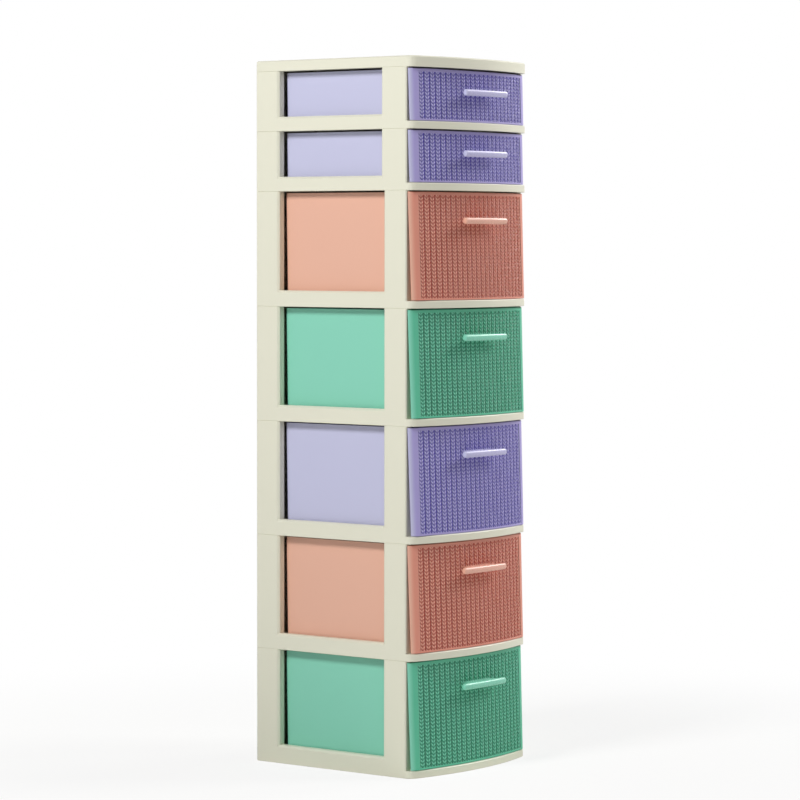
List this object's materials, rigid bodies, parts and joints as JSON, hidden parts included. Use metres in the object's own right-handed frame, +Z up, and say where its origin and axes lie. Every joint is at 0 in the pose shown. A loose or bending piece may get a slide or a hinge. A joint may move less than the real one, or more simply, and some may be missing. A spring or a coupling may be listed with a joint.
{
  "type": "drawer tower",
  "caption": "Tall freestanding plastic drawer tower: stacked bow-fronted tiers with windowed sides, each holding a sliding ribbed drawer with a bar handle.",
  "frame": {"origin": "on the floor, under the middle of the whole outline with the drawers shut", "axes": "+Z up; the bowed front and the handles face -Y; +X to the right as seen from the front"},
  "size_m": [0.285, 0.324, 1.043],
  "materials": {
    "cream_plastic": "moulded polypropylene, satin",
    "lilac_plastic": "moulded polypropylene, satin",
    "coral_plastic": "moulded polypropylene, satin",
    "mint_plastic": "moulded polypropylene, satin"
  },
  "bodies": {
    "tower": {"top_cover": "cream_plastic", "tier_frame_1": "cream_plastic", "tier_frame_2": "cream_plastic", "tier_frame_3": "cream_plastic", "tier_frame_4": "cream_plastic", "tier_frame_5": "cream_plastic", "tier_frame_6": "cream_plastic", "tier_frame_7": "cream_plastic"},
    "drawer_body_1": {"drawer_1": "lilac_plastic", "handle_1": "lilac_plastic"},
    "drawer_body_2": {"drawer_2": "lilac_plastic", "handle_2": "lilac_plastic"},
    "drawer_body_3": {"drawer_3": "coral_plastic", "handle_3": "coral_plastic"},
    "drawer_body_4": {"drawer_4": "mint_plastic", "handle_4": "mint_plastic"},
    "drawer_body_5": {"drawer_5": "lilac_plastic", "handle_5": "lilac_plastic"},
    "drawer_body_6": {"drawer_6": "coral_plastic", "handle_6": "coral_plastic"},
    "drawer_body_7": {"drawer_7": "mint_plastic", "handle_7": "mint_plastic"}
  },
  "joints": [
    {"name": "drawer_1_slide", "type": "slide", "parent": "tower", "child": "drawer_body_1", "axis": [0, -1, 0], "range_m": [0, 0.2]},
    {"name": "drawer_2_slide", "type": "slide", "parent": "tower", "child": "drawer_body_2", "axis": [0, -1, 0], "range_m": [0, 0.2]},
    {"name": "drawer_3_slide", "type": "slide", "parent": "tower", "child": "drawer_body_3", "axis": [0, -1, 0], "range_m": [0, 0.2]},
    {"name": "drawer_4_slide", "type": "slide", "parent": "tower", "child": "drawer_body_4", "axis": [0, -1, 0], "range_m": [0, 0.2]},
    {"name": "drawer_5_slide", "type": "slide", "parent": "tower", "child": "drawer_body_5", "axis": [0, -1, 0], "range_m": [0, 0.2]},
    {"name": "drawer_6_slide", "type": "slide", "parent": "tower", "child": "drawer_body_6", "axis": [0, -1, 0], "range_m": [0, 0.2]},
    {"name": "drawer_7_slide", "type": "slide", "parent": "tower", "child": "drawer_body_7", "axis": [0, -1, 0], "range_m": [0, 0.2]}
  ]
}
